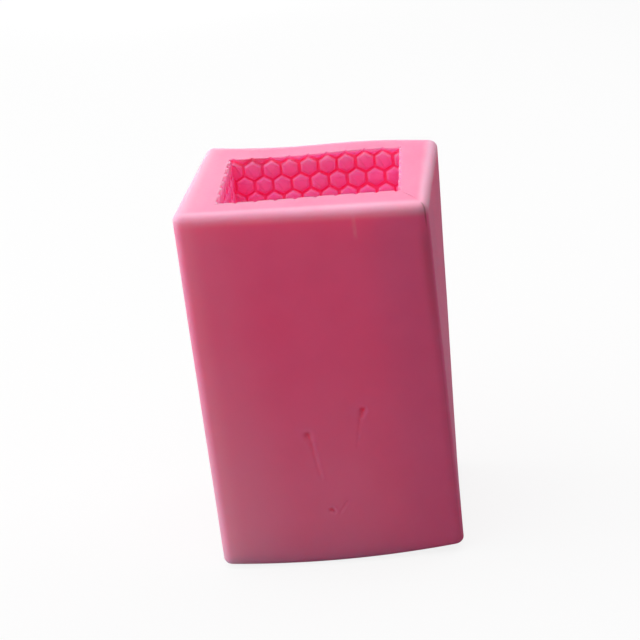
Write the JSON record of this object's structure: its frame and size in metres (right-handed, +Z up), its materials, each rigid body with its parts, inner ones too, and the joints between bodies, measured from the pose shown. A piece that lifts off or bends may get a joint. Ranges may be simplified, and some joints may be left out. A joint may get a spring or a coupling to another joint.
{
  "type": "candle mold",
  "caption": "Thick-walled rectangular silicone mold for a honeycomb pillar candle, open at the top, with a wick hole in its floor and a release slit that lets it open like a book.",
  "frame": {"origin": "middle of the underside, the face the mold stands on", "axes": "+Z up, out of the pouring opening; +X to the right along the broad front face; -Y out of the front face"},
  "size_m": [0.068, 0.055, 0.105],
  "materials": {
    "silicone": "satin, slightly translucent cast silicone rubber"
  },
  "bodies": {
    "back": {"back_half": "silicone", "corner_hinge": "silicone"},
    "front": {"front_half": "silicone"}
  },
  "joints": [
    {"name": "slit_opening", "type": "hinge", "parent": "back", "child": "front", "pos_m": [-0.0295, 0.023, 0.05], "axis": [0, 0, -1], "range_deg": [0, 50], "stiffness_Nm_per_rad": 0.5, "deforming": ["corner_hinge"]}
  ]
}
